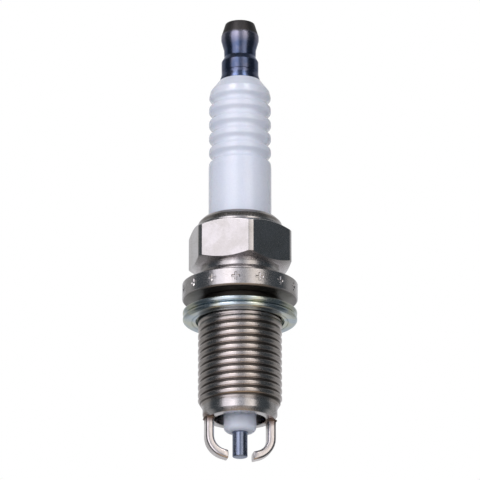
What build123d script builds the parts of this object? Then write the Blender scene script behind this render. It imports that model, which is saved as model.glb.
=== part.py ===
from build123d import *
import os

# A resistor spark plug with two side electrodes, in millimetres.
# +Z points to the terminal. The origin is on the plug's axis, in the plane of the loose
# gasket's underside, which is the face that meets the cylinder head.

# ---- driving dimensions: standard sizes ----
thread_pitch = 1.25
thread_crest_radius = 6.95
thread_root_radius = 6.22
reach = 19.0
overall_height = 50.5
hex_across_flats = 15.8
stud_thread_pitch = 0.7
stud_thread_radius = 1.97
stud_thread_depth = 0.38
stud_thread_top = 48.8

# ---- driving dimensions: gasket ----
gasket_thickness = 1.9
gasket_middle = gasket_thickness / 2
gasket_crushed = 1.4
gasket_travel = 1.68
gasket_play = 0.02
gasket_outer_radius = 9.5
gasket_hole_radius = 7.35
gasket_lip_radius = 6.6
gasket_lip_height = 1.1
seam_radius = 8.0

# ---- driving dimensions: shell, heights above the seat of the tightened plug ----
shell_bottom = -reach
pilot_radius = 6.18
pilot_top = -16.95
thread_bottom = -15.8
thread_top = -2.35
shell_groove_bottom = shell_bottom + 1.2
flange_bottom = gasket_crushed
flange_top = 4.45
flange_radius = 9.6
neck_radius = 6.2
bead_radius = 6.65
hex_chamfer_bottom = 6.7
hex_bottom = 7.1
hex_top = 13.5
hex_corner_radius = 8.88
lip_radius = 7.28
lip_top = 15.7
firing_bore_radius = 4.3
ledge_radius = 3.9
middle_bore_radius = 5.0
upper_bore_radius = 6.35
mark_count = 15
mark_size = 1.3
mark_stroke = 0.3
mark_depth = 0.1
mark_start = 14

# ---- driving dimensions: insulator ----
insulator_top = 40.15
insulator_tip = -21.2
rib_radius = 5.2
body_radius = 5.25
groove_radius = 4.5
groove_pitch = 2.48
lowest_groove = 26.25
groove_count = 5
nose_radius = 2.7
stud_bore_radius = 2.0
electrode_bore_radius = 1.28

# ---- driving dimensions: terminal, electrodes and seals ----
nut_bottom = 41.8
nut_head_radius = 3.17
nut_waist_radius = 2.65
nut_collar_radius = 3.1
nut_bore_radius = 2.03
electrode_radius = 1.25
electrode_tip = -25.4
copper_radius = 0.65
bar_thickness = 1.4
bar_width = 2.3
bar_edge_radius = 0.48
bar_root = 5.2
bar_bend_height = -22.1
bar_bend_radius = 3.0
bar_bend_angle = 75
bar_tip_radius = 2.15

# The seat of the tightened plug lies above the loose gasket's underside.
tight_seat = gasket_thickness + gasket_travel + gasket_play - gasket_crushed
side = Plane(origin=(0, 0, tight_seat), x_dir=(1, 0, 0), z_dir=(0, -1, 0))
slope_of_30_degrees = 0.577


def rounded_profile(corners):
    """A closed outline through corners given as (radius, height, rounding)."""
    points = [(radius, height) for radius, height, rounding in corners]
    return FilletPolyline(*points, radius=[corner[2] for corner in corners], close=True)


# ---- screw thread grooves, cut from the shell and from the terminal stud ----
def thread_groove(pitch, root_radius, crest_radius, bottom, top):
    """The winding space between the ridges of a 60 degree thread, open past the crest."""
    flank_radius = crest_radius + 0.04
    outer_radius = crest_radius + 0.2
    half_root = pitch / 16
    half_mouth = half_root + (flank_radius - root_radius) * slope_of_30_degrees
    start = Plane(origin=(0, 0, tight_seat + bottom), x_dir=(1, 0, 0), z_dir=(0, -1, 0))
    with BuildPart() as groove:
        with BuildLine() as path:
            Helix(pitch, top - bottom, root_radius, center=(0, 0, tight_seat + bottom))
        with BuildSketch(start):
            with BuildLine():
                Polyline(
                    (root_radius, -half_root),
                    (flank_radius, -half_mouth),
                    (outer_radius, -half_mouth),
                    (outer_radius, half_mouth),
                    (flank_radius, half_mouth),
                    (root_radius, half_root),
                    close=True,
                )
            make_face()
        sweep(path=path.line, is_frenet=True)
    return groove.part


shell_groove = thread_groove(
    thread_pitch, thread_root_radius, thread_crest_radius, shell_groove_bottom, thread_top
)
stud_groove = thread_groove(
    stud_thread_pitch,
    stud_thread_radius - stud_thread_depth,
    stud_thread_radius,
    nut_bottom + 0.6,
    stud_thread_top,
)

# ---- hexagon: flats along X, corners turned down and both ends chamfered at 30 degrees ----
with BuildPart() as hexagon:
    with BuildSketch(Plane.XY.offset(tight_seat + hex_chamfer_bottom)):
        RegularPolygon(hex_across_flats / 2, 6, major_radius=False, rotation=30)
    extrude(amount=hex_top + 0.4 - hex_chamfer_bottom)
    flat_radius = hex_across_flats / 2
    corner_drop = (hex_corner_radius - flat_radius) * slope_of_30_degrees
    with BuildSketch(side):
        with BuildLine():
            Polyline(
                (0, hex_chamfer_bottom),
                (flat_radius - 0.7, hex_chamfer_bottom),
                (hex_corner_radius, hex_bottom + corner_drop),
                (hex_corner_radius, hex_top - corner_drop),
                (flat_radius - 0.7, hex_top + 0.4),
                (0, hex_top + 0.4),
                close=True,
            )
        make_face()
    revolve(axis=Axis.Z, mode=Mode.INTERSECT)

# ---- shell: threaded shank, flange, buckled neck, hexagon and crimped lip ----
with BuildPart() as shell:
    with BuildSketch(side):
        with BuildLine():
            rounded_profile(
                [
                    (0, shell_bottom, 0),
                    (5.75, shell_bottom, 0.1),
                    (pilot_radius, shell_bottom + 0.55, 0.1),
                    (pilot_radius, pilot_top, 0.1),
                    (thread_crest_radius, thread_bottom, 0.05),
                    (thread_crest_radius, -1.15, 0.05),
                    (neck_radius, -0.98, 0.05),
                    (neck_radius, flange_bottom, 0.2),
                    (flange_radius - 0.3, flange_bottom, 0.1),
                    (flange_radius, flange_bottom + 0.3, 0.15),
                    (flange_radius, flange_top - 0.2, 0.1),
                    (flange_radius - 0.25, flange_top, 0.1),
                    (neck_radius, flange_top, 0.3),
                    (neck_radius, 5.75, 0.15),
                    (bead_radius, 6.0, 0.2),
                    (bead_radius, hex_chamfer_bottom, 0.05),
                    (7.0, hex_chamfer_bottom, 0.05),
                    (7.0, hex_top + 0.4, 0.05),
                    (lip_radius, hex_top + 0.4, 0.05),
                    (lip_radius - 0.28, 14.95, 0.8),
                    (6.1, lip_top, 0.6),
                    (5.4, lip_top, 0.1),
                    (5.4, lip_top - 0.3, 0),
                    (0, lip_top - 0.3, 0),
                ]
            )
        make_face()
    revolve(axis=Axis.Z)
    add(hexagon.part)
    with BuildSketch(side):
        with BuildLine():
            rounded_profile(
                [
                    (0, shell_bottom, 0),
                    (firing_bore_radius, shell_bottom, 0),
                    (firing_bore_radius, -6.3, 0),
                    (ledge_radius, -5.9, 0),
                    (ledge_radius, -5.3, 0),
                    (middle_bore_radius, -4.2, 0),
                    (middle_bore_radius, 7.0, 0),
                    (upper_bore_radius, 7.7, 0),
                    (upper_bore_radius, 14.2, 0.6),
                    (5.4, lip_top - 0.3, 0.3),
                    (0, lip_top - 0.3, 0),
                ]
            )
        make_face()
    revolve(axis=Axis.Z, mode=Mode.SUBTRACT)
    add(shell_groove, mode=Mode.SUBTRACT)
    with Locations((0, 0, tight_seat + (flange_bottom + flange_top) / 2)):
        with PolarLocations(flange_radius, mark_count, start_angle=mark_start):
            Box(2 * mark_depth, mark_size, mark_stroke, mode=Mode.SUBTRACT)
            Box(2 * mark_depth, mark_stroke, mark_size, mode=Mode.SUBTRACT)

# ---- insulator: ribbed glazed head, shoulders inside the shell and bare nose ----
with BuildPart() as insulator:
    with BuildSketch(side):
        with BuildLine():
            rounded_profile(
                [
                    (stud_bore_radius, insulator_top, 0),
                    (3.5, insulator_top, 0.1),
                    (5.0, 38.4, 0.35),
                    (rib_radius, 37.4, 0.3),
                    (rib_radius, 25.2, 0),
                    (body_radius, 24.6, 0.2),
                    (body_radius, 12.0, 0.2),
                    (6.25, 11.2, 0.2),
                    (6.25, 8.1, 0.2),
                    (4.92, 7.2, 0.2),
                    (4.92, -3.6, 0.2),
                    (3.75, -4.75, 0.2),
                    (3.6, -5.6, 0.2),
                    (nose_radius, -18.6, 0.3),
                    (nose_radius, insulator_tip, 0.95),
                    (electrode_bore_radius, insulator_tip, 0.1),
                    (electrode_bore_radius, 2.0, 0),
                    (stud_bore_radius, 2.72, 0),
                ]
            )
        make_face()
    revolve(axis=Axis.Z)
    groove_depth = rib_radius - groove_radius
    groove_half_width = 0.85
    groove_tool_radius = (groove_half_width**2 + groove_depth**2) / (2 * groove_depth)
    with BuildSketch(side):
        for step in range(groove_count):
            with Locations((groove_radius + groove_tool_radius, lowest_groove + step * groove_pitch)):
                Circle(groove_tool_radius)
    revolve(axis=Axis.Z, mode=Mode.SUBTRACT)

# ---- terminal stud: M4 top, collar on the insulator, grooved foot in the glass ----
with BuildPart() as terminal_stud:
    with BuildSketch(side):
        with BuildLine():
            rounded_profile(
                [
                    (0, 48.0, 0),
                    (1.5, 48.0, 0),
                    (stud_thread_radius, 47.5, 0),
                    (stud_thread_radius, nut_bottom, 0),
                    (nut_collar_radius, nut_bottom, 0.08),
                    (nut_collar_radius, insulator_top + 0.6, 0.3),
                    (3.45, insulator_top, 0),
                    (1.95, insulator_top, 0),
                    (1.95, 28.0, 0.1),
                    (1.6, 27.5, 0.1),
                    (1.6, 22.0, 0.2),
                    (0, 22.0, 0),
                ]
            )
        make_face()
    revolve(axis=Axis.Z)
    add(stud_groove, mode=Mode.SUBTRACT)
    with BuildSketch(side):
        for step in range(5):
            with Locations((1.6, 23.0 + step * 0.8)):
                RegularPolygon(0.25, 3, rotation=180)
    revolve(axis=Axis.Z, mode=Mode.SUBTRACT)

# ---- terminal nut: the barrel that the plug cap snaps over ----
with BuildPart() as terminal_nut:
    with BuildSketch(side):
        with BuildLine():
            rounded_profile(
                [
                    (nut_bore_radius, nut_bottom, 0.1),
                    (nut_collar_radius, nut_bottom, 0.08),
                    (nut_collar_radius, 43.6, 0.1),
                    (nut_waist_radius, 44.45, 0.2),
                    (nut_waist_radius, 45.9, 0.3),
                    (nut_head_radius, 47.45, 0.1),
                    (nut_head_radius, 48.25, 0.1),
                    (2.45, overall_height, 0.2),
                    (0, overall_height, 0),
                    (0, 48.9, 0),
                    (nut_bore_radius, 48.4, 0),
                ]
            )
        make_face()
    revolve(axis=Axis.Z)

# ---- centre electrode: nickel cup with a head in the glass and a copper core ----
with BuildPart() as centre_electrode:
    with BuildSketch(side):
        with BuildLine():
            rounded_profile(
                [
                    (0, electrode_tip, 0),
                    (electrode_radius, electrode_tip, 0.12),
                    (electrode_radius, 2.0, 0),
                    (1.9, 2.66, 0),
                    (1.9, 3.4, 0.15),
                    (1.3, 3.8, 0.1),
                    (1.3, 6.0, 0.1),
                    (0.65, 6.0, 0),
                    (copper_radius, -22.2, 0),
                    (0, -22.6, 0),
                ]
            )
        make_face()
    revolve(axis=Axis.Z)

with BuildPart() as centre_electrode_core:
    with BuildSketch(side):
        with BuildLine():
            Polyline((0, -22.6), (copper_radius, -22.2), (copper_radius, 6.0), (0, 6.0), close=True)
        make_face()
    revolve(axis=Axis.Z)

# ---- conductive glass seals and the resistor between them, fused in the insulator's bore ----
with BuildPart() as lower_glass_seal:
    with BuildSketch(Plane.XY.offset(tight_seat + 2.72)):
        Circle(stud_bore_radius)
    extrude(amount=6.28)
    add(centre_electrode.part, mode=Mode.SUBTRACT)
    add(centre_electrode_core.part, mode=Mode.SUBTRACT)

with BuildPart() as resistor:
    with BuildSketch(Plane.XY.offset(tight_seat + 9.0)):
        Circle(stud_bore_radius)
    extrude(amount=11.0)

with BuildPart() as upper_glass_seal:
    with BuildSketch(Plane.XY.offset(tight_seat + 20.0)):
        Circle(stud_bore_radius)
    extrude(amount=7.4)
    add(terminal_stud.part, mode=Mode.SUBTRACT)

# ---- packings between the shell and the insulator ----
with BuildPart() as seat_packing:
    with BuildSketch(side):
        with BuildLine():
            Polyline((4.2, -4.98), (4.9, -4.2), (4.9, -3.72), (4.2, -4.41), close=True)
        make_face()
    revolve(axis=Axis.Z)

with BuildPart() as lower_packing_ring:
    with BuildSketch(side):
        with Locations((5.8, 12.52)):
            Circle(0.53)
    revolve(axis=Axis.Z)

with BuildPart() as talc_fill:
    with BuildSketch(Plane.XY.offset(tight_seat + 13.07)):
        Circle(upper_bore_radius)
        Circle(body_radius, mode=Mode.SUBTRACT)
    extrude(amount=0.9)

with BuildPart() as upper_packing_ring:
    with BuildSketch(side):
        with Locations((5.68, 14.38)):
            Circle(0.4)
    revolve(axis=Axis.Z)

# ---- gasket: a steel strip folded into two layers, with an inner lip that keeps it on ----
with BuildPart() as gasket:
    with BuildSketch(Plane.XZ):
        with BuildLine():
            rounded_profile(
                [
                    (gasket_hole_radius, 0, 0.15),
                    (seam_radius - 0.05, 0, 0),
                    (seam_radius - 0.03, 0.15, 0),
                    (seam_radius + 0.03, 0.15, 0),
                    (seam_radius + 0.05, 0, 0),
                    (gasket_outer_radius, 0, 0.42),
                    (gasket_outer_radius, gasket_middle - 0.09, 0.38),
                    (gasket_outer_radius - 0.8, gasket_middle, 0.03),
                    (gasket_outer_radius, gasket_middle + 0.09, 0.38),
                    (gasket_outer_radius, gasket_thickness, 0.42),
                    (gasket_lip_radius, gasket_thickness, 0.2),
                    (gasket_lip_radius, gasket_lip_height, 0.2),
                    (gasket_hole_radius, gasket_lip_height, 0.1),
                ]
            )
        make_face()
    revolve(axis=Axis.Z)

# ---- ground electrodes: bars welded to the shell's end, bent to face the centre electrode ----
def ground_electrode(direction):
    """A bar on the +X side for direction 1 and on the -X side for direction -1."""
    with BuildPart() as bar:
        with BuildLine(side) as path:
            shank = Line((direction * bar_root, shell_bottom), (direction * bar_root, bar_bend_height))
            bend = JernArc(shank @ 1, shank % 1, bar_bend_radius, -direction * bar_bend_angle)
            Line(bend @ 1, bend @ 1 + (bend % 1) * 2.2)
        with BuildSketch(Plane(origin=(direction * bar_root, 0, tight_seat + shell_bottom))):
            RectangleRounded(bar_thickness, bar_width, bar_edge_radius)
        sweep(path=path.line)
        with BuildSketch(Plane.XY.offset(tight_seat + shell_bottom - 10)):
            Rectangle(2 * bar_tip_radius, 2 * bar_width)
        extrude(amount=9, mode=Mode.SUBTRACT)
    return bar


def ground_weld(direction):
    """The bead of weld metal around the root of one bar."""
    root_plane = Plane(
        origin=(direction * (bar_root - 0.02), 0, tight_seat + shell_bottom), z_dir=(0, 0, -1)
    )
    with BuildPart() as weld:
        with BuildSketch(root_plane):
            RectangleRounded(bar_thickness + 0.24, bar_width + 0.5, bar_edge_radius + 0.15)
        extrude(amount=0.4, taper=25)
        add(ground_electrode(direction).part, mode=Mode.SUBTRACT)
    return weld


left_ground_electrode = ground_electrode(-1)
right_ground_electrode = ground_electrode(1)
left_ground_weld = ground_weld(-1)
right_ground_weld = ground_weld(1)

pieces = {
    "shell": shell,
    "insulator": insulator,
    "terminal_stud": terminal_stud,
    "terminal_nut": terminal_nut,
    "upper_glass_seal": upper_glass_seal,
    "resistor": resistor,
    "lower_glass_seal": lower_glass_seal,
    "centre_electrode": centre_electrode,
    "centre_electrode_core": centre_electrode_core,
    "seat_packing": seat_packing,
    "lower_packing_ring": lower_packing_ring,
    "talc_fill": talc_fill,
    "upper_packing_ring": upper_packing_ring,
    "gasket": gasket,
    "left_ground_electrode": left_ground_electrode,
    "right_ground_electrode": right_ground_electrode,
    "left_ground_weld": left_ground_weld,
    "right_ground_weld": right_ground_weld,
}
os.makedirs("parts", exist_ok=True)
for name, piece in pieces.items():
    piece.part.label = name
    export_step(piece.part, f"parts/{name}.step")
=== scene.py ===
"""Looks for the spark plug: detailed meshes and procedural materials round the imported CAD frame."""
import math

import bmesh
import bpy
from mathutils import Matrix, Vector, noise


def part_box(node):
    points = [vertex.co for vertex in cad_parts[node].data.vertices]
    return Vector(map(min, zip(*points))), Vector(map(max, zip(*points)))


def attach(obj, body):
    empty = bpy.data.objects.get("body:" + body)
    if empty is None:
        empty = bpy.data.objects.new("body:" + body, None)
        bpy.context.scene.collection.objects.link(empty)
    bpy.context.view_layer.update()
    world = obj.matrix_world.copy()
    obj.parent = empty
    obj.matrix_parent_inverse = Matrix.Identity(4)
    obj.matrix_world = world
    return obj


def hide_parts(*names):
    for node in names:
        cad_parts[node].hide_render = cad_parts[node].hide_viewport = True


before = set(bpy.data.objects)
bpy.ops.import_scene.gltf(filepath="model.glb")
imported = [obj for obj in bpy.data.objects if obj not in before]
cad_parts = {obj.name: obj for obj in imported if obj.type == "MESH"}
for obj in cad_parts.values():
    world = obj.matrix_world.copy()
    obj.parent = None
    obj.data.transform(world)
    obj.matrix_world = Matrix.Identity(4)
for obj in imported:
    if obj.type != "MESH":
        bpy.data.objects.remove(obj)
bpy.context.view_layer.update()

# ---- driving dimensions, in millimetres; heights are above the seat of the tightened plug ----
MM = 0.001
REACH = 19.0
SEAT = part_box("shell")[0].z / MM + REACH
GASKET_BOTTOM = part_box("gasket")[0].z / MM - SEAT

# threaded shank
FLANK_SLOPE = math.tan(math.radians(30))
PITCH = 1.25
CREST = 6.95
CREST_ROUNDING = 0.2
ROOT = 6.5
ROOT_ROUNDING = 0.07
GROOVE_START = -18.5
RUN_OUT = 1.1
THREAD_TOP = -2.2
THREAD_CHAMFER_TOP = -15.9
PILOT = 6.18
PILOT_TOP = -17.2
END_CHAMFER_WIDTH = 0.53
END_CHAMFER_HEIGHT = 0.7
SHOULDER_TOP = -1.15
NECK = 6.2
NECK_BOTTOM = -0.98

# bores of the shell
BORE = 5.0
LEDGE_BORE = 3.9
LEDGE_TOP = -4.2
LEDGE_LAND = 0.6
LOWER_BORE = 4.3
TALC_BORE = 6.35
TALC_TOP = 14.2
TALC_BOTTOM = 7.7
LIP_BORE = 5.4

# flange
FLANGE = 9.6
FLANGE_BOTTOM = 1.4
FLANGE_TOP = 4.45
FLANGE_OVERLAP = 0.2
FLANGE_INSIDE = 5.4
LOWER_CHAMFER = 0.3
UPPER_CHAMFER_WIDTH = 0.25
UPPER_CHAMFER_HEIGHT = 0.2
MARKS = 15
MARK_SIZE = 1.3
MARK_STROKE = 0.3
MARK_START = math.radians(14)
MARK_DEPTH = 0.16
MARK_WALL = 0.06

# hexagon, with the buckled bead below it and the crimped lip above it
NECK_FILLET = 0.5
BEAD = 6.65
BEAD_BOTTOM = 5.6
BEAD_TOP = 5.98
FLAT = 7.9
CORNER = 8.88
CORNER_BLEND = 0.03
CHAMFER_FOOT = 7.3
CHAMFER_SLOPE = math.tan(math.radians(30))
HEX_BOTTOM = 6.7
HEX_TOP = 13.9
HEX_EDGE = 0.07
LIP = 7.28
LIP_WALL_TOP = 14.95
LIP_TOP = 15.7
LIP_TOP_EDGE = 6.1

# insulator, with five grooves between its ribs
INSULATOR_TOP = 40.15
RIB = 5.2
RIB_GROOVE = 4.45
RIB_GROOVES = 5
RIB_PITCH = 2.48
LOWEST_GROOVE = 26.25
GROOVE_HALF_WIDTH = 0.85
INSULATOR_BODY = 5.25
INSULATOR_SHOULDER = 6.25
INSULATOR_CORE = 4.92
NOSE_ROOT = 3.6
NOSE = 2.7
NOSE_TIP = -21.2
STUD_BORE = 2.0
ELECTRODE_BORE = 1.28

# terminal nut and the stud under it
NUT_BOTTOM = 41.8
NUT_TOP = 50.5
NUT_GAP = 0.02
NUT_FOOT = 3.1
NUT_WAIST = 2.7
NUT_LINE = 2.66
NUT_HEAD = 3.17
NUT_TIP = 2.45
NUT_BORE = 2.03
STUD_PITCH = 0.7
STUD_CREST = 1.97
STUD_ROOT = 1.59
STUD_TIP = 1.5
STUD_TOP = 48.0
STUD_SHANK = 1.95
STUD_FOOT = 1.6
STUD_BOTTOM = 22.0
COLLAR = 3.1
COLLAR_FLARE = 0.35
COLLAR_FLARE_HEIGHT = 1.1

# centre electrode
ELECTRODE = 1.25
ELECTRODE_TIP = -25.4
ELECTRODE_HEAD = 1.9
ELECTRODE_TAIL = 1.3
ELECTRODE_CORE = 0.65

# gasket; its heights are above its own underside
GASKET = 9.5
GASKET_THICKNESS = 1.9
GASKET_LAYER = 0.95
GASKET_HOLE = 7.35
GASKET_LIP = 6.6
GASKET_LIP_BOTTOM = 1.1
GASKET_LINE = 8.0
GASKET_LINE_DEPTH = 0.14

# ground electrodes
BAR_THICKNESS = 1.4
BAR_WIDTH = 2.3
BAR_EDGE = 0.48
BAR_ROOT = 5.2
BAR_SINK = 0.04
BAR_BEND_HEIGHT = -22.1
BAR_BEND_RADIUS = 3.0
BAR_BEND_ANGLE = math.radians(75)
BAR_TIP = 2.15
BAR_TIP_EDGE = 0.12

# ---- camera, floor and lamps; lengths in metres ----
CAMERA_AZIMUTH = math.radians(-11.75)
CAMERA_ELEVATION = math.radians(-18.2)
CAMERA_DISTANCE = 0.889
CAMERA_LENS = 400
LOOK_AT_HEIGHT = 12.2 * MM
FLOOR_DROP = 0.06
FLOOR_HALF = 4.0
LAMP_DISTANCE = 0.9
LAMP_ELEVATION = math.radians(15)


# ---- outlines and turned meshes ----
def rounded(corners, closed=True, steps=5):
    """Points (radius, height) along an outline whose (radius, height, rounding) corners are arcs."""
    points = []
    last = len(corners) - 1
    for index, (radius, height, rounding) in enumerate(corners):
        here = Vector((radius, height))
        if rounding == 0 or (not closed and index in (0, last)):
            points.append((radius, height))
            continue
        before = (Vector(corners[index - 1][:2]) - here).normalized()
        after = (Vector(corners[(index + 1) % len(corners)][:2]) - here).normalized()
        half = before.angle(after) / 2
        middle = here + (before + after).normalized() * rounding / math.sin(half)
        start = here + before * rounding / math.tan(half) - middle
        end = here + after * rounding / math.tan(half) - middle
        first_angle = math.atan2(start.y, start.x)
        sweep = math.atan2(end.y, end.x) - first_angle
        sweep = (sweep + math.pi) % (2 * math.pi) - math.pi
        for step in range(steps + 1):
            angle = first_angle + sweep * step / steps
            points.append(
                (middle.x + rounding * math.cos(angle), middle.y + rounding * math.sin(angle))
            )
    return points


def even_angles(columns):
    return [2 * math.pi * column / columns for column in range(columns + 1)]


def ring_surface(rings, loop=True):
    """Vertices and faces of a skin over rings of points; a loop also joins the last ring to the first."""
    width = len(rings[0])
    vertices = [point for ring in rings for point in ring]
    faces = []
    for row in range(len(rings) if loop else len(rings) - 1):
        here = row * width
        above = (row + 1) % len(rings) * width
        for column in range(width - 1):
            faces.append((here + column, here + column + 1, above + column + 1, above + column))
    return vertices, faces


def turned(rows, angles):
    """A closed surface of revolution; a row is (radius, height), or a function of the angle giving it."""
    rings = []
    for row in rows:
        ring = []
        for angle in angles:
            radius, height = row(angle) if callable(row) else row
            ring.append((radius * math.cos(angle), radius * math.sin(angle), height))
        rings.append(ring)
    return ring_surface(rings)


def piece(name, body, node, surfaces, material, sharp=35):
    """One mesh from closed surfaces in millimetres above the tightened seat, standing for one CAD node."""
    build = bmesh.new()
    for vertices, faces in surfaces:
        made = [build.verts.new((x * MM, y * MM, (z + SEAT) * MM)) for x, y, z in vertices]
        for face in faces:
            build.faces.new([made[corner] for corner in face])
    bmesh.ops.remove_doubles(build, verts=build.verts, dist=1e-7)
    bmesh.ops.dissolve_degenerate(build, edges=build.edges, dist=1e-8)
    bmesh.ops.recalc_face_normals(build, faces=build.faces)
    mesh = bpy.data.meshes.new(name)
    build.to_mesh(mesh)
    build.free()
    mesh.materials.append(material)
    mesh.polygons.foreach_set("use_smooth", [True] * len(mesh.polygons))
    mesh.set_sharp_from_angle(angle=math.radians(sharp))
    made_object = bpy.data.objects.new(name, mesh)
    bpy.context.collection.objects.link(made_object)
    weighted = made_object.modifiers.new("weighted normals", "WEIGHTED_NORMAL")
    weighted.keep_sharp = True
    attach(made_object, body)
    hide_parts(node)
    return made_object


def thread_rows(
    pitch, root, crest, root_rounding, crest_rounding, groove_start, bottom, top, run_out, limit
):
    """Rows that wind up a right-hand thread between two heights; limit(height) cuts the crests down.

    The root's flat is an eighth of the pitch wide, and the groove fades out below the top over run_out.
    """
    root_half = pitch / 16
    crest_half = pitch / 2 - root_half - (crest - root) * FLANK_SLOPE
    ridge = rounded(
        [
            (root, 0, 0),
            (root, root_half, root_rounding),
            (crest, pitch / 2 - crest_half, crest_rounding),
            (crest, pitch / 2 + crest_half, crest_rounding),
            (root, pitch - root_half, root_rounding),
            (root, pitch, 0),
        ],
        closed=False,
        steps=2,
    )[:-1]
    turns = math.ceil((top - bottom) / pitch) + 2
    first = math.floor((bottom - groove_start) / pitch) - 1

    def row(turn, radius, rise):
        def at(angle):
            height = groove_start + (turn + angle / (2 * math.pi)) * pitch + rise
            height = min(max(height, bottom), top)
            fade = min(max((top - height) / run_out, 0), 1)
            out = crest - (crest - radius) * fade * fade * (3 - 2 * fade)
            if height == top:
                out = crest
            return min(out, limit(height)), height

        return at

    return [row(first + turn, radius, rise) for turn in range(turns) for radius, rise in ridge]


# ---- shell: threaded shank, flange with its marks, and the hexagon with neck and lip ----
def shank():
    """The lower bores with their ledge, the chamfered end, the pilot, the thread and the neck."""
    slope = (CREST - PILOT) / (THREAD_CHAMFER_TOP - PILOT_TOP)
    neck_top = FLANGE_BOTTOM + FLANGE_OVERLAP
    land_top = LEDGE_TOP - (BORE - LEDGE_BORE)
    land_bottom = land_top - LEDGE_LAND
    inside_and_pilot = rounded(
        [
            (BORE, neck_top, 0),
            (BORE, LEDGE_TOP, 0.1),
            (LEDGE_BORE, land_top, 0.1),
            (LEDGE_BORE, land_bottom, 0.1),
            (LOWER_BORE, land_bottom - (LOWER_BORE - LEDGE_BORE), 0.1),
            (LOWER_BORE, -REACH, 0.07),
            (PILOT - END_CHAMFER_WIDTH, -REACH, 0.12),
            (PILOT, -REACH + END_CHAMFER_HEIGHT, 0.12),
            (PILOT, PILOT_TOP, 0),
        ],
        closed=False,
    )
    thread = thread_rows(
        pitch=PITCH,
        root=ROOT,
        crest=CREST,
        root_rounding=ROOT_ROUNDING,
        crest_rounding=CREST_ROUNDING,
        groove_start=GROOVE_START,
        bottom=PILOT_TOP,
        top=THREAD_TOP,
        run_out=RUN_OUT,
        limit=lambda height: PILOT + slope * (height - PILOT_TOP),
    )
    shoulder = rounded(
        [
            (CREST, THREAD_TOP, 0),
            (CREST, SHOULDER_TOP, 0.08),
            (NECK, NECK_BOTTOM, 0.08),
            (NECK, neck_top, 0),
        ],
        closed=False,
    )
    return turned(inside_and_pilot + thread + shoulder, even_angles(200))


def flange():
    """The flange ring, with plus-shaped marks sunk into its side."""
    middle = (FLANGE_BOTTOM + FLANGE_TOP) / 2
    edges = [MARK_STROKE / 2 - MARK_WALL, MARK_STROKE / 2 + MARK_WALL]
    edges += [MARK_SIZE / 2 - MARK_WALL, MARK_SIZE / 2 + MARK_WALL]
    period = 2 * math.pi * FLANGE / MARKS
    plain = [period / 2 + step * 0.45 for step in (-2, -1, 0, 1, 2)]
    offsets = [-edge for edge in reversed(edges)] + edges + plain
    angles = []
    for mark in range(MARKS):
        angles += [MARK_START + (mark * period + offset) / FLANGE for offset in offsets]
    angles.append(angles[0] + 2 * math.pi)

    def side(height):
        def at(angle):
            across = abs(((angle - MARK_START) * FLANGE + period / 2) % period - period / 2)
            up = abs(height - middle)
            thin, long = sorted((across, up))
            sunk = thin < MARK_STROKE / 2 and long < MARK_SIZE / 2
            return FLANGE - (MARK_DEPTH if sunk else 0), height

        return at

    lower = rounded(
        [
            (FLANGE_INSIDE, FLANGE_BOTTOM, 0),
            (FLANGE - LOWER_CHAMFER, FLANGE_BOTTOM, 0.12),
            (FLANGE, FLANGE_BOTTOM + LOWER_CHAMFER, 0.2),
            (FLANGE, middle, 0),
        ],
        closed=False,
    )
    upper = rounded(
        [
            (FLANGE, middle, 0),
            (FLANGE, FLANGE_TOP - UPPER_CHAMFER_HEIGHT, 0.1),
            (FLANGE - UPPER_CHAMFER_WIDTH, FLANGE_TOP, 0.12),
            (FLANGE_INSIDE, FLANGE_TOP, 0),
        ],
        closed=False,
    )
    rise = [-edge for edge in reversed(edges)] + edges
    return turned(lower[:-1] + [side(middle + offset) for offset in rise] + upper[1:], angles)


def hexagon_radius(angle):
    """Distance from the axis to the hexagon's side, its corners turned down to a cylinder."""
    turn = (angle + math.pi / 6) % (math.pi / 3) - math.pi / 6
    flat = FLAT / math.cos(turn)
    overlap = max(CORNER_BLEND - abs(flat - CORNER), 0)
    return min(flat, CORNER) - overlap * overlap / (4 * CORNER_BLEND)


def hexagon_angles():
    """Columns that crowd together where a flat meets a turned corner."""
    half_strip = math.degrees(math.pi / 6 - math.acos(FLAT / CORNER))
    near = [half_strip + step for step in (-0.45, -0.2, 0, 0.2, 0.5)]
    strip = [-step for step in reversed(near)] + [-1.2, 0, 1.2] + near
    flat_start, flat_end = near[-1], 60 - near[-1]
    flat = [flat_start + (flat_end - flat_start) * step / 25 for step in range(1, 25)]
    degrees = [30 + 60 * side + offset for side in range(6) for offset in strip + flat]
    degrees.append(degrees[0] + 360)
    return [math.radians(degree) for degree in degrees]


def chamfer_rows(end, toward):
    """Rows from the foot of the end chamfer of the hexagon, over its edge, onto the side."""

    def on_chamfer(share):
        def at(angle):
            radius = CHAMFER_FOOT + (hexagon_radius(angle) - CHAMFER_FOOT) * share
            return radius, end + toward * (radius - CHAMFER_FOOT) * CHAMFER_SLOPE

        return at

    def near_edge(out, along):
        def at(angle):
            radius = hexagon_radius(angle)
            height = end + toward * (radius - CHAMFER_FOOT) * CHAMFER_SLOPE
            return radius - out, height + toward * along

        return at

    rise = HEX_EDGE * CHAMFER_SLOPE
    edge = [near_edge(HEX_EDGE, -rise), near_edge(HEX_EDGE * 0.3, 0.1 * rise)]
    edge += [near_edge(0.004, HEX_EDGE * 0.6), near_edge(0, HEX_EDGE * 1.3)]
    return [on_chamfer(share) for share in (0, 0.3, 0.6, 0.85)] + edge


def side_row(share):
    """A row across the hexagon's sides, between the two end chamfers."""

    def at(angle):
        drop = (hexagon_radius(angle) - CHAMFER_FOOT) * CHAMFER_SLOPE + HEX_EDGE * 1.3
        return hexagon_radius(angle), HEX_BOTTOM + drop + (HEX_TOP - HEX_BOTTOM - 2 * drop) * share

    return at


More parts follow.
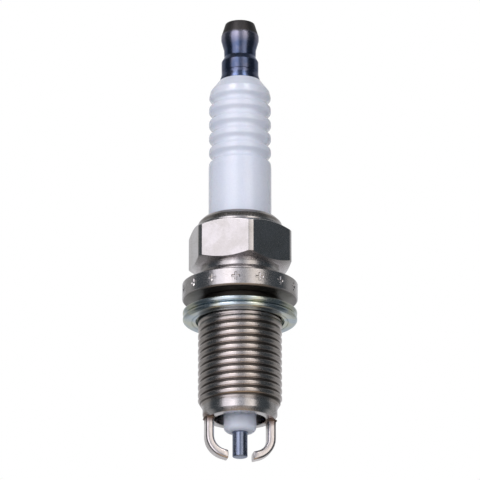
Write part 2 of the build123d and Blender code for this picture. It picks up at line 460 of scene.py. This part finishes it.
def upper_shell():
    """The neck with its bead, the hexagon between two chamfers, the crimped lip and the bore inside."""
    foot = CHAMFER_FOOT - 0.02
    neck_bottom = FLANGE_TOP - 0.25
    neck = rounded(
        [
            (BORE, neck_bottom, 0),
            (NECK + NECK_FILLET, neck_bottom, 0),
            (NECK + NECK_FILLET, FLANGE_TOP - 0.02, 0),
            (NECK, FLANGE_TOP + 0.06, 0.25),
            (NECK, BEAD_BOTTOM, 0.2),
            (BEAD, BEAD_TOP, 0.3),
            (BEAD, HEX_BOTTOM, 0.05),
            (foot, HEX_BOTTOM, 0),
        ],
        closed=False,
    )
    lip_and_inside = rounded(
        [
            (foot, HEX_TOP, 0),
            (LIP, HEX_TOP + 0.01, 0),
            (LIP, HEX_TOP + 0.15, 0.1),
            (LIP - 0.4, LIP_WALL_TOP, 0.8),
            (LIP_TOP_EDGE, LIP_TOP, 0.6),
            (LIP_BORE, LIP_TOP, 0.1),
            (LIP_BORE, LIP_TOP - 0.3, 0.1),
            (TALC_BORE, TALC_TOP, 0.5),
            (TALC_BORE, TALC_BOTTOM, 0.1),
            (BORE, 7.0, 0),
        ],
        closed=False,
        steps=7,
    )
    rows = neck + chamfer_rows(HEX_BOTTOM, 1)
    rows += [side_row(share / 4) for share in (1, 2, 3)]
    rows += list(reversed(chamfer_rows(HEX_TOP, -1))) + lip_and_inside
    return turned(rows, hexagon_angles())


# ---- insulator, terminal and centre electrode ----
def insulator():
    """The ribbed head, the shoulders inside the shell, the bare nose and the stepped bore."""
    ribs = []
    for groove in reversed(range(RIB_GROOVES)):
        middle = LOWEST_GROOVE + groove * RIB_PITCH
        ribs += [
            (RIB, middle + GROOVE_HALF_WIDTH, 0.45),
            (RIB_GROOVE, middle, 0.6),
            (RIB, middle - GROOVE_HALF_WIDTH, 0.45),
        ]
    cone = [
        (STUD_BORE, INSULATOR_TOP, 0),
        (3.5, INSULATOR_TOP, 0.12),
        (4.95, 38.25, 0.35),
        (5.1, 37.6, 0.2),
    ]
    body_and_nose = [
        (RIB, 25.2, 0.2),
        (INSULATOR_BODY, 24.6, 0.2),
        (INSULATOR_BODY, 12.0, 0.2),
        (INSULATOR_SHOULDER, 11.2, 0.2),
        (INSULATOR_SHOULDER, 8.1, 0.2),
        (INSULATOR_CORE, 7.2, 0.2),
        (INSULATOR_CORE, -3.6, 0.2),
        (NOSE_ROOT + 0.15, -4.75, 0.2),
        (NOSE_ROOT, -5.6, 0.2),
        (NOSE, -18.6, 0.3),
        (NOSE, NOSE_TIP, 0.95),
    ]
    bore = [
        (ELECTRODE_BORE, NOSE_TIP, 0.1),
        (ELECTRODE_BORE, 2.0, 0),
        (STUD_BORE, 2.0 + STUD_BORE - ELECTRODE_BORE, 0),
    ]
    outline = rounded(cone + ribs + body_and_nose + bore, steps=6)
    return turned(outline, even_angles(180))


def terminal_nut():
    """The barrel: a foot, a waist with one fine turned line, a head, an end cone and a blind bore."""
    bottom = NUT_BOTTOM + NUT_GAP
    outline = rounded(
        [
            (NUT_BORE, bottom, 0.1),
            (NUT_FOOT, bottom, 0.1),
            (NUT_FOOT, 43.6, 0.14),
            (NUT_LINE, 44.4, 0.2),
            (NUT_LINE - 0.06, 44.55, 0.05),
            (NUT_LINE, 44.7, 0.05),
            (NUT_WAIST, 45.8, 0.6),
            (NUT_HEAD, 47.5, 0.35),
            (NUT_HEAD, 48.2, 0.25),
            (NUT_TIP, NUT_TOP, 0.25),
            (0, NUT_TOP, 0),
            (0, 48.9, 0),
            (NUT_BORE, 48.4, 0),
        ]
    )
    return turned(outline, even_angles(120))


def terminal_stud():
    """The foot in the glass seal, the flared collar on the insulator and the M4 thread."""
    collar_top = NUT_BOTTOM
    thread_bottom = collar_top + 0.4
    foot_and_collar = rounded(
        [
            (0, STUD_BOTTOM, 0),
            (STUD_FOOT, STUD_BOTTOM, 0.2),
            (STUD_FOOT, 27.5, 0.1),
            (STUD_SHANK, 28.0, 0.1),
            (STUD_SHANK, INSULATOR_TOP, 0),
            (COLLAR + COLLAR_FLARE, INSULATOR_TOP, 0.04),
            (COLLAR, INSULATOR_TOP + COLLAR_FLARE_HEIGHT, 0.3),
            (COLLAR, collar_top, 0.1),
            (STUD_CREST, collar_top, 0.05),
            (STUD_CREST, collar_top + 0.35, 0),
        ],
        closed=False,
    )
    thread = thread_rows(
        pitch=STUD_PITCH,
        root=STUD_ROOT,
        crest=STUD_CREST,
        root_rounding=0.05,
        crest_rounding=0.04,
        groove_start=collar_top + 0.6,
        bottom=thread_bottom,
        top=STUD_TOP,
        run_out=0.01,
        limit=lambda height: min(STUD_CREST, STUD_TIP + (STUD_TOP - height)),
    )
    return turned(foot_and_collar + thread + [(0, STUD_TOP)], even_angles(96))


def centre_electrode():
    """The pin with its head in the lower glass seal, hollow for the copper core."""
    outline = rounded(
        [
            (0, ELECTRODE_TIP, 0),
            (ELECTRODE, ELECTRODE_TIP, 0.14),
            (ELECTRODE, 2.0, 0),
            (ELECTRODE_HEAD, 2.66, 0),
            (ELECTRODE_HEAD, 3.4, 0.15),
            (ELECTRODE_TAIL, 3.8, 0.1),
            (ELECTRODE_TAIL, 6.0, 0.1),
            (ELECTRODE_CORE, 6.0, 0),
            (ELECTRODE_CORE, -22.2, 0),
            (0, -22.6, 0),
        ]
    )
    return turned(outline, even_angles(96))


# ---- gasket: two folded layers and an inner lip ----
def gasket():
    """The folded ring: a line pressed into its underside, a crease between its layers, a lip inside."""
    base = GASKET_BOTTOM
    top = base + GASKET_THICKNESS
    crease = base + GASKET_LAYER
    lip_bottom = base + GASKET_LIP_BOTTOM
    outline = rounded(
        [
            (GASKET_HOLE, base, 0.15),
            (GASKET_LINE - 0.07, base, 0.04),
            (GASKET_LINE - 0.02, base + GASKET_LINE_DEPTH, 0),
            (GASKET_LINE + 0.02, base + GASKET_LINE_DEPTH, 0),
            (GASKET_LINE + 0.07, base, 0.04),
            (GASKET, base, 0.44),
            (GASKET, crease - 0.07, 0.4),
            (GASKET - 0.8, crease, 0.02),
            (GASKET, crease + 0.07, 0.5),
            (GASKET, top, 0.3),
            (GASKET_LIP, top, 0.2),
            (GASKET_LIP, lip_bottom, 0.2),
            (GASKET_HOLE, lip_bottom, 0.1),
        ],
        steps=6,
    )
    return turned(outline, even_angles(180))


# ---- ground electrodes and their welds ----
def bar_section(grow=0.0, steps=6):
    """Points (radial, sideways) round the bar's rounded rectangle, with the first point repeated."""
    half_thick = BAR_THICKNESS / 2 - BAR_EDGE
    half_wide = BAR_WIDTH / 2 - BAR_EDGE
    points = []
    for corner, (side_x, side_y) in enumerate(((1, 1), (-1, 1), (-1, -1), (1, -1))):
        for step in range(steps + 1):
            angle = math.pi / 2 * (corner + step / steps)
            reach = BAR_EDGE + grow
            radial = side_x * half_thick + reach * math.cos(angle)
            sideways = side_y * half_wide + reach * math.sin(angle)
            points.append((radial, sideways))
    return points + points[:1]


def ground_electrode(direction):
    """A bar on the +X side for direction 1 and on the -X side for direction -1."""
    path = [(BAR_ROOT, height, 0) for height in (-REACH + BAR_SINK, -20.0, -21.0)]
    for step in range(13):
        turn = BAR_BEND_ANGLE * step / 12
        path.append(
            (
                BAR_ROOT - BAR_BEND_RADIUS * (1 - math.cos(turn)),
                BAR_BEND_HEIGHT - BAR_BEND_RADIUS * math.sin(turn),
                turn,
            )
        )
    rings = [[(BAR_ROOT, 0, path[0][1])] * len(bar_section())]
    for middle, height, turn in path:
        rings.append(
            [
                (middle + out * math.cos(turn), wide, height - out * math.sin(turn))
                for out, wide in bar_section()
            ]
        )
    drop = math.tan(math.pi / 2 - BAR_BEND_ANGLE)
    end_x, end_z = path[-1][0], path[-1][1]
    centre_z = end_z - (end_x - BAR_TIP) * drop
    tip_rows = ((BAR_TIP_EDGE, 0), (BAR_TIP_EDGE / 4, BAR_TIP_EDGE / 4), (0, BAR_TIP_EDGE))
    for back, inset in tip_rows:
        tip = BAR_TIP + back
        ring = []
        for out, wide in bar_section(-inset):
            side_x = end_x + out * math.cos(BAR_BEND_ANGLE)
            side_z = end_z - out * math.sin(BAR_BEND_ANGLE)
            ring.append((tip, wide, side_z - (side_x - tip) * drop))
        rings.append(ring)
    rings.append([(BAR_TIP, 0, centre_z)] * len(bar_section()))
    mirrored = [[(direction * x, direction * y, z) for x, y, z in ring] for ring in rings]
    return ring_surface(mirrored, loop=False)


def ground_weld(direction):
    """An uneven bead of weld metal between the shell's end and a bar's root."""
    # (outwards from the bar, below the shell's end)
    profile = [(-0.06, -0.05), (0.1, -0.05), (0.2, 0.02), (0.19, 0.08), (0.12, 0.14)]
    profile += [(0.07, 0.19), (0.02, 0.25), (-0.06, 0.28)]
    rings = []
    for out, drop in profile:
        ring = []
        for x, y in bar_section(out, steps=8):
            lump = noise.noise(Vector((x * 2.3 + direction * 7, y * 2.3, drop * 3)))
            swell = 0.5 * lump if out > 0 else 0
            angle = math.atan2(y, x)
            x += swell * 0.22 * math.cos(angle)
            y += swell * 0.3 * math.sin(angle)
            height = -REACH - drop * (1 + 0.5 * swell)
            ring.append((direction * (BAR_ROOT + x), direction * y, height))
        rings.append(ring)
    return ring_surface(rings)


# ---- material nodes ----
class Nodes:
    """A small helper that adds nodes to one tree and links them."""

    def __init__(self, tree):
        self.tree = tree
        tree.nodes.clear()

    def add(self, kind, inputs=(), **settings):
        node = self.tree.nodes.new(kind)
        for name, value in settings.items():
            setattr(node, name, value)
        for name, value in dict(inputs).items():
            if isinstance(value, bpy.types.NodeSocket):
                self.tree.links.new(value, node.inputs[name])
            else:
                node.inputs[name].default_value = value
        return node

    def math(self, operation, first, second=0.0):
        return self.add("ShaderNodeMath", {0: first, 1: second}, operation=operation).outputs[0]

    def product(self, first, *others):
        for other in others:
            first = self.math("MULTIPLY", first, other)
        return first

    def dot(self, first, second):
        node = self.add("ShaderNodeVectorMath", {0: first, 1: second}, operation="DOT_PRODUCT")
        return node.outputs["Value"]

    def scale(self, vector, factor):
        inputs = {0: vector, "Scale": factor}
        return self.add("ShaderNodeVectorMath", inputs, operation="SCALE").outputs[0]

    def axes(self, vector):
        return self.add("ShaderNodeSeparateXYZ", {0: vector}).outputs

    def span(self, value, low, high, out_low=0.0, out_high=1.0):
        inputs = {"Value": value, "From Min": low, "From Max": high, "To Min": out_low, "To Max": out_high}
        return self.add("ShaderNodeMapRange", inputs, interpolation_type="SMOOTHSTEP").outputs[0]

    def mix(self, factor, *colours):
        """A blend of two colours, each a socket or (red, green, blue)."""
        first, second = ((*colour, 1) if isinstance(colour, tuple) else colour for colour in colours)
        node = self.add("ShaderNodeMix", {0: factor, 6: first, 7: second}, data_type="RGBA")
        return node.outputs[2]

    def noise(self, vector, scale, detail=3.0, roughness=0.5):
        inputs = {"Vector": vector, "Scale": scale, "Detail": detail, "Roughness": roughness}
        return self.add("ShaderNodeTexNoise", inputs).outputs[0]

    def bump(self, height, distance, strength=1.0, normal=None):
        inputs = {"Height": height, "Distance": distance, "Strength": strength}
        if normal:
            inputs["Normal"] = normal
        return self.add("ShaderNodeBump", inputs).outputs[0]


def surface(name):
    """A new material, the helper for its nodes, and its object coordinates in millimetres."""
    material = bpy.data.materials.new(name)
    material.use_nodes = True
    nodes = Nodes(material.node_tree)
    place = nodes.scale(nodes.add("ShaderNodeTexCoord").outputs["Object"], 1 / MM)
    return material, nodes, place


def height_above_seat(nodes, place):
    return nodes.math("SUBTRACT", nodes.axes(place)[2], SEAT)


def radius_from_axis(nodes, place):
    axes = nodes.axes(place)
    squares = [nodes.math("POWER", axes[axis], 2.0) for axis in (0, 1)]
    return nodes.math("SQRT", nodes.math("ADD", *squares))


def finish_surface(material, nodes, inputs):
    shader = nodes.add("ShaderNodeBsdfPrincipled", inputs)
    nodes.add("ShaderNodeOutputMaterial", {"Surface": shader.outputs[0]})
    return material


def turning_lines(nodes, height, radius, pitch, shake):
    """Fine lines round the axis, as a lathe or a rolling die leaves them."""
    along = nodes.math("ADD", height, nodes.math("MULTIPLY", radius, 0.7))
    phase = nodes.math("MULTIPLY", along, 6.283 / pitch)
    return nodes.math("SINE", nodes.math("ADD", phase, nodes.math("MULTIPLY", shake, 3.0)))


def plated_steel(name, clean, worn, grime, roughness):
    """Bright nickel plate: turned, rolled in the thread, tinted by the welds, with painted shade in the
    thread's grooves and under the flange.
    """
    rolled_tone = (0.52, 0.45, 0.41)
    # painted shade for the thread's grooves
    groove_shade_tone = (0.07, 0.06, 0.05)
    # painted shade for the gap under the flange
    flange_shade_tone = (0.03, 0.02, 0.012)
    heat_tone = (0.2, 0.11, 0.07)
    material, nodes, place = surface(name)
    height = height_above_seat(nodes, place)
    radius = radius_from_axis(nodes, place)
    cloud = nodes.noise(place, 0.35, 4.0, 0.6)
    speck = nodes.noise(place, 5.0, 3.0, 0.7)
    fine = nodes.noise(place, 18.0, 2.0, 0.6)
    tone = nodes.mix(nodes.span(cloud, 0.35, 0.68), clean, worn)
    tone = nodes.mix(nodes.span(speck, 0.62, 0.78, 0.0, 0.35), tone, grime)

    # the rolled thread is browner than the turned steel above it
    rolled = nodes.product(nodes.span(height, -0.9, -1.2), nodes.span(height, -17.1, -16.9))
    tone = nodes.mix(nodes.math("MULTIPLY", rolled, 0.5), tone, rolled_tone)

    # painted shade in the grooves of the thread, where the ridges would shadow them
    along_thread = nodes.product(nodes.span(height, -0.8, -1.6), nodes.span(height, -16.65, -16.45))
    uneven_radius = nodes.math("ADD", radius, nodes.math("MULTIPLY", speck, 0.1))
    deep = nodes.product(nodes.span(radius, 5.2, 5.9), nodes.span(uneven_radius, 6.84, 6.6))
    groove_shade = nodes.product(along_thread, deep)
    tone = nodes.mix(nodes.math("MULTIPLY", groove_shade, 0.85), tone, groove_shade_tone)

    # painted shade under the flange and on the neck, in the gap above the gasket: strongest on the neck,
    # half as strong under the flange, none at its rim
    gap = nodes.product(nodes.span(height, 1.72, 1.6), nodes.span(height, -1.1, -0.9))
    inner = nodes.product(nodes.span(radius, 9.56, 9.36), nodes.span(radius, 7.4, 6.4, 0.5, 0.92))
    flange_shade = nodes.product(gap, inner)
    tone = nodes.mix(flange_shade, tone, flange_shade_tone)

    # the crimped lip is duller than the hexagon
    tone = nodes.mix(nodes.math("MULTIPLY", nodes.span(height, 14.05, 14.5), 0.62), tone, grime)

    # heat tint beside the welds
    sideways = nodes.math("ABSOLUTE", nodes.axes(place)[1])
    by_weld = nodes.product(nodes.span(sideways, 1.9, 0.9), nodes.span(height, -17.9, -18.7, 0.0, 0.75))
    tone = nodes.mix(by_weld, tone, heat_tone)

    rough = nodes.span(nodes.math("ADD", speck, nodes.math("MULTIPLY", fine, 0.5)), 0.5, 1.0, *roughness)
    rough = nodes.math("ADD", rough, nodes.math("MULTIPLY", groove_shade, 0.15))
    rough = nodes.math("ADD", rough, nodes.math("MULTIPLY", flange_shade, 0.3))
    lines = turning_lines(nodes, height, radius, 0.11, cloud)
    normal = nodes.bump(lines, 0.0000012, 0.35)
    normal = nodes.bump(fine, 0.000006, 0.5, normal)
    normal = nodes.bump(speck, 0.00002, 0.35, normal)
    inputs = {"Base Color": tone, "Metallic": 1.0, "Roughness": rough, "Normal": normal}
    return finish_surface(material, nodes, inputs)


def zinc_plate(name):
    """Blue-passivated zinc, with faint yellow and green interference tints and a cloudy sheen."""
    blue = (0.52, 0.6, 0.66)
    yellow = (0.66, 0.68, 0.58)
    green = (0.5, 0.66, 0.64)
    material, nodes, place = surface(name)
    tint = nodes.noise(place, 0.22, 2.0, 0.5)
    cloud = nodes.noise(place, 1.6, 4.0, 0.6)
    grain = nodes.noise(place, 12.0, 3.0, 0.6)
    tone = nodes.mix(nodes.span(tint, 0.42, 0.62), blue, yellow)
    tone = nodes.mix(nodes.span(cloud, 0.45, 0.7, 0.0, 0.4), tone, green)
    rough = nodes.span(grain, 0.3, 0.75, 0.16, 0.34)
    height = height_above_seat(nodes, place)
    lines = turning_lines(nodes, height, radius_from_axis(nodes, place), 0.16, cloud)
    normal = nodes.bump(lines, 0.000001, 0.3)
    normal = nodes.bump(grain, 0.000008, 0.5, normal)
    inputs = {"Base Color": tone, "Metallic": 1.0, "Roughness": rough, "Normal": normal}
    return finish_surface(material, nodes, inputs)


def blued_steel(name):
    """Blue-black oxide: deep blue on the barrel, paler on the head, matt and brown-grey on the end cone."""
    deep_blue = (0.11, 0.15, 0.27)
    worn_blue = (0.17, 0.19, 0.29)
    head_tone = (0.4, 0.39, 0.5)
    cone_tone = (0.1, 0.095, 0.097)
    material, nodes, place = surface(name)
    height = height_above_seat(nodes, place)
    cloud = nodes.noise(place, 0.7, 3.0, 0.55)
    grain = nodes.noise(place, 9.0, 3.0, 0.6)
    uneven_height = nodes.math("ADD", height, nodes.math("MULTIPLY", cloud, 0.3))
    cone = nodes.span(uneven_height, 48.2, 48.85)
    tone = nodes.mix(nodes.span(cloud, 0.35, 0.7), deep_blue, worn_blue)
    tone = nodes.mix(nodes.span(height, 46.3, 47.9, 0.0, 0.75), tone, head_tone)
    tone = nodes.mix(cone, tone, cone_tone)
    rough = nodes.span(grain, 0.3, 0.75, 0.17, 0.3)
    rough = nodes.math("ADD", rough, nodes.math("MULTIPLY", cone, 0.25))
    lines = turning_lines(nodes, height, radius_from_axis(nodes, place), 0.13, cloud)
    normal = nodes.bump(lines, 0.0000025, 0.5)
    normal = nodes.bump(grain, 0.000006, 0.5, normal)
    inputs = {"Base Color": tone, "Metallic": 1.0, "Roughness": rough, "Normal": normal}
    return finish_surface(material, nodes, inputs)


def glazed_alumina(name):
    """White alumina, slightly lilac, with grey pinholes and a wavy clear glaze that ends at the nose."""
    white = (0.67, 0.722, 0.845)
    pale = (0.7, 0.743, 0.856)
    pinhole = (0.5, 0.5, 0.54)
    material, nodes, place = surface(name)
    cloud = nodes.noise(place, 0.15, 2.0, 0.5)
    wave = nodes.noise(place, 0.6, 2.0, 0.5)
    grain = nodes.noise(place, 7.0, 3.0, 0.6)
    tone = nodes.mix(nodes.span(cloud, 0.35, 0.65), white, pale)
    tone = nodes.mix(nodes.span(grain, 0.7, 0.78, 0.0, 0.2), tone, pinhole)
    bare = nodes.span(height_above_seat(nodes, place), -3.0, -6.0)
    rough = nodes.span(grain, 0.3, 0.7, 0.24, 0.32)
    rough = nodes.math("ADD", rough, nodes.math("MULTIPLY", bare, 0.2))
    glaze = nodes.math("SUBTRACT", 0.8, nodes.math("MULTIPLY", bare, 0.72))
    normal = nodes.bump(wave, 0.00004, 0.25)
    normal = nodes.bump(grain, 0.000003, 0.3, normal)
    inputs = {"Base Color": tone, "Roughness": rough, "Normal": normal, "Coat Weight": glaze}
    inputs.update({"Coat Roughness": 0.07, "Subsurface Weight": 0.08, "Subsurface Scale": 0.0012})
    return finish_surface(material, nodes, inputs)


def drawn_alloy(name, light, dark, roughness, heat):
    """Drawn nickel alloy with lengthwise marks; heat is how strongly its root by the weld is tinted."""
    heat_tone = (0.16, 0.09, 0.07)
    material, nodes, place = surface(name)
    lengthwise = {0: place, 1: (6.0, 6.0, 0.5)}
    stretched = nodes.add("ShaderNodeVectorMath", lengthwise, operation="MULTIPLY").outputs[0]
    streak = nodes.noise(stretched, 1.6, 3.0, 0.6)
    grain = nodes.noise(place, 11.0, 3.0, 0.6)
    tone = nodes.mix(nodes.span(streak, 0.35, 0.7), light, dark)
    uneven = nodes.math("MULTIPLY", nodes.noise(place, 1.2), 0.8)
    tinted = nodes.math("ADD", height_above_seat(nodes, place), uneven)
    tinted = nodes.span(tinted, -19.9, -18.9, 0.0, heat)
    tone = nodes.mix(tinted, tone, heat_tone)
    rough = nodes.span(grain, 0.3, 0.75, *roughness)
    rough = nodes.math("ADD", rough, nodes.math("MULTIPLY", tinted, 0.15))
    normal = nodes.bump(streak, 0.000008, 0.4)
    normal = nodes.bump(grain, 0.000006, 0.4, normal)
    inputs = {"Base Color": tone, "Metallic": 1.0, "Roughness": rough, "Normal": normal}
    return finish_surface(material, nodes, inputs)


def grained(name, light, dark, scale, roughness, metallic=0.0, depth=0.00003):
    """A plain grained material for weld metal, glass, carbon mass, soft steel, copper and powder."""
    material, nodes, place = surface(name)
    coarse = nodes.noise(place, scale, 5.0, 0.65)
    fine = nodes.noise(place, scale * 6, 3.0, 0.6)
    tone = nodes.mix(nodes.span(coarse, 0.3, 0.7), light, dark)
    rough = nodes.span(fine, 0.25, 0.75, *roughness)
    normal = nodes.bump(nodes.math("ADD", coarse, nodes.math("MULTIPLY", fine, 0.4)), depth, 0.6)
    inputs = {"Base Color": tone, "Metallic": metallic, "Roughness": rough, "Normal": normal}
    return finish_surface(material, nodes, inputs)


nickel = plated_steel(
    "nickel_plate",
    clean=(0.68, 0.66, 0.67),
    worn=(0.58, 0.56, 0.55),
    grime=(0.2, 0.16, 0.13),
    roughness=(0.18, 0.3),
)
alumina = glazed_alumina("glazed_alumina")
blued = blued_steel("blued_steel")
zinc = zinc_plate("zinc_plate")
pin_alloy = drawn_alloy("centre_alloy", (0.32, 0.37, 0.49), (0.22, 0.26, 0.37), (0.2, 0.32), heat=0.0)
bar_alloy = drawn_alloy("bar_alloy", (0.82, 0.78, 0.78), (0.66, 0.62, 0.61), (0.16, 0.28), heat=0.75)
weld_metal = grained("weld_metal", (0.32, 0.25, 0.2), (0.13, 0.09, 0.08), 2.2, (0.3, 0.5), 1.0)
seal_glass = grained("seal_glass", (0.36, 0.25, 0.17), (0.15, 0.1, 0.08), 2.0, (0.2, 0.45), 0.3)
resistor_mass = grained("resistor_mass", (0.08, 0.08, 0.08), (0.03, 0.03, 0.035), 3.0, (0.6, 0.85))
copper = grained("copper_core", (0.8, 0.42, 0.28), (0.62, 0.3, 0.2), 1.5, (0.2, 0.4), 1.0, 0.00001)
packing = grained("packing_steel", (0.5, 0.5, 0.5), (0.32, 0.31, 0.3), 2.5, (0.3, 0.5), 1.0, 0.00001)
talc = grained("pressed_talc", (0.86, 0.86, 0.84), (0.74, 0.73, 0.7), 2.5, (0.75, 0.95))

# ---- visible pieces ----
piece("shell_steel", "plug", "shell", [shank(), flange(), upper_shell()], nickel)
piece("insulator_body", "plug", "insulator", [insulator()], alumina)
piece("stud_with_thread", "plug", "terminal_stud", [terminal_stud()], blued)
piece("nut_barrel", "terminal_nut", "terminal_nut", [terminal_nut()], blued)
piece("electrode_pin", "plug", "centre_electrode", [centre_electrode()], pin_alloy)
piece("gasket_ring", "gasket", "gasket", [gasket()], zinc)
for side_name, direction in (("left", -1), ("right", 1)):
    bar_node = side_name + "_ground_electrode"
    weld_node = side_name + "_ground_weld"
    bar = [ground_electrode(direction)]
    piece(side_name + "_bar", "plug", bar_node, bar, bar_alloy)
    piece(side_name + "_bead", "plug", weld_node, [ground_weld(direction)], weld_metal, 60)

# ---- parts inside, as the CAD has them ----
inside_materials = {
    "upper_glass_seal": seal_glass,
    "resistor": resistor_mass,
    "lower_glass_seal": seal_glass,
    "centre_electrode_core": copper,
    "seat_packing": packing,
    "lower_packing_ring": packing,
    "talc_fill": talc,
    "upper_packing_ring": packing,
}
for node_name, inside_material in inside_materials.items():
    node_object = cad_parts[node_name]
    node_object.data.materials.clear()
    node_object.data.materials.append(inside_material)


# ---- camera ----
def bearing(azimuth, elevation):
    """The unit vector towards an azimuth, turned from -Y towards +X, and an elevation, in radians."""
    level = math.cos(elevation)
    return Vector((math.sin(azimuth) * level, -math.cos(azimuth) * level, math.sin(elevation)))


toward_camera = bearing(CAMERA_AZIMUTH, CAMERA_ELEVATION)
camera = bpy.data.objects.new("camera", bpy.data.cameras.new("camera"))
bpy.context.collection.objects.link(camera)
camera.data.sensor_width = 36
camera.data.lens = CAMERA_LENS
camera.location = Vector((0, 0, SEAT * MM + LOOK_AT_HEIGHT)) + toward_camera * CAMERA_DISTANCE
camera.rotation_mode = "QUATERNION"
camera.rotation_quaternion = (-toward_camera).to_track_quat("-Z", "Y")
camera.data.clip_start = 0.01
camera.data.clip_end = 20
bpy.context.scene.camera = camera

# ---- floor: pale, matt, and below the camera ----
floor_mesh = bpy.data.meshes.new("floor")
floor_height = camera.location.z - FLOOR_DROP
floor_signs = ((-1, -1), (1, -1), (1, 1), (-1, 1))
floor_corners = [(x * FLOOR_HALF, y * FLOOR_HALF, floor_height) for x, y in floor_signs]
floor_mesh.from_pydata(floor_corners, [], [(0, 1, 2, 3)])
floor = bpy.data.objects.new("floor", floor_mesh)
bpy.context.collection.objects.link(floor)
floor_material, floor_nodes, floor_place = surface("floor_paper")
floor_tone = floor_nodes.noise(floor_place, 0.01, 2.0, 0.5)
floor_colour = floor_nodes.mix(floor_tone, (0.86, 0.86, 0.87), (0.9, 0.9, 0.9))
finish_surface(floor_material, floor_nodes, {"Base Color": floor_colour, "Roughness": 0.8})
floor_mesh.materials.append(floor_material)
floor.visible_glossy = False


# ---- soft studio light: two tall soft boxes by the camera, a pale wall behind, dark sides ----
def window(nodes, value, low, high, soft):
    """1 between two angles in degrees and 0 outside them, with soft edges."""
    low, high, soft = (math.radians(angle) for angle in (low, high, soft))
    rise = nodes.span(value, low - soft, low + soft)
    fall = nodes.span(value, high - soft, high + soft)
    return nodes.math("SUBTRACT", rise, fall)


def studio_world():
    """What the metal and the glaze reflect; the camera itself sees plain white behind the plug."""
    world = bpy.data.worlds.new("studio")
    bpy.context.scene.world = world
    world.use_nodes = True
    nodes = Nodes(world.node_tree)
    ray = nodes.add("ShaderNodeTexCoord").outputs["Generated"]
    ahead = nodes.dot(ray, bearing(CAMERA_AZIMUTH, 0))
    across = nodes.dot(ray, bearing(CAMERA_AZIMUTH + math.pi / 2, 0))
    azimuth = nodes.math("ARCTAN2", across, ahead)
    elevation = nodes.math("ARCSINE", nodes.axes(ray)[2])
    turned_away = nodes.math("ABSOLUTE", azimuth)
    # (angle, from, to, softness, elevation from, to, softness, colour); azimuth 0 is the camera's side
    lights = [
        (azimuth, -55, -8, 7, -50, 47, 9, (1.15, 1.1, 1.16)),
        (azimuth, -32, -12, 7, -20, 45, 18, (0.5, 0.46, 0.44)),
        (azimuth, 16, 47, 6, -50, 47, 9, (0.9, 0.84, 0.8)),
        (azimuth, 26, 42, 6, -20, 45, 18, (0.3, 0.26, 0.22)),
        (azimuth, -8, 16, 6, -50, 47, 9, (0.36, 0.36, 0.39)),
        (azimuth, -46, -20, 4, 36, 50, 3, (4.2, 4.1, 4.1)),
        (azimuth, 20, 40, 4, 36, 50, 3, (3.6, 3.5, 3.4)),
        (turned_away, 105, 200, 10, -40, 55, 10, (0.3, 0.29, 0.28)),
        (turned_away, 148, 200, 10, -24, 55, 10, (0.32, 0.32, 0.34)),
        (turned_away, -20, 200, 10, 56, 120, 12, (0.08, 0.075, 0.07)),
        (turned_away, -20, 200, 10, -120, -60, 10, (0.52, 0.37, 0.24)),
        (turned_away, -20, 200, 10, -120, 120, 10, (0.05, 0.06, 0.068)),
    ]
    total = None
    for angle, left, right, soft, bottom, top, up_soft, colour in lights:
        sideways = window(nodes, angle, left, right, soft)
        upright = window(nodes, elevation, bottom, top, up_soft)
        glow = nodes.scale(colour, nodes.math("MULTIPLY", sideways, upright))
        if total:
            glow = nodes.add("ShaderNodeVectorMath", {0: total, 1: glow}, operation="ADD").outputs[0]
        total = glow
    lit = nodes.add("ShaderNodeBackground", {"Color": total, "Strength": 1.0})
    seen = nodes.add("ShaderNodeBackground", {"Color": (1, 1, 1, 1), "Strength": 1.0})
    camera_ray = nodes.add("ShaderNodeLightPath").outputs["Is Camera Ray"]
    both = nodes.add("ShaderNodeMixShader", {0: camera_ray, 1: lit.outputs[0], 2: seen.outputs[0]})
    nodes.add("ShaderNodeOutputWorld", {"Surface": both.outputs[0]})


def soft_box(name, azimuth, width, height, power):
    """An area light, at degrees from the camera's bearing; the world holds its reflection."""
    toward_lamp = bearing(CAMERA_AZIMUTH + math.radians(azimuth), LAMP_ELEVATION)
    lamp = bpy.data.lights.new(name, "AREA")
    lamp.shape = "RECTANGLE"
    lamp.size = width
    lamp.size_y = height
    lamp.energy = power
    holder = bpy.data.objects.new(name, lamp)
    bpy.context.collection.objects.link(holder)
    holder.location = toward_lamp * LAMP_DISTANCE
    holder.rotation_mode = "QUATERNION"
    holder.rotation_quaternion = toward_lamp.to_track_quat("Z", "Y")
    holder.visible_glossy = False
    holder.visible_camera = False


studio_world()
soft_box("left_soft_box", -46, 0.5, 0.8, 2.45)
soft_box("right_soft_box", 40, 0.35, 0.8, 1.5)
bpy.context.scene.view_settings.view_transform = "Standard"
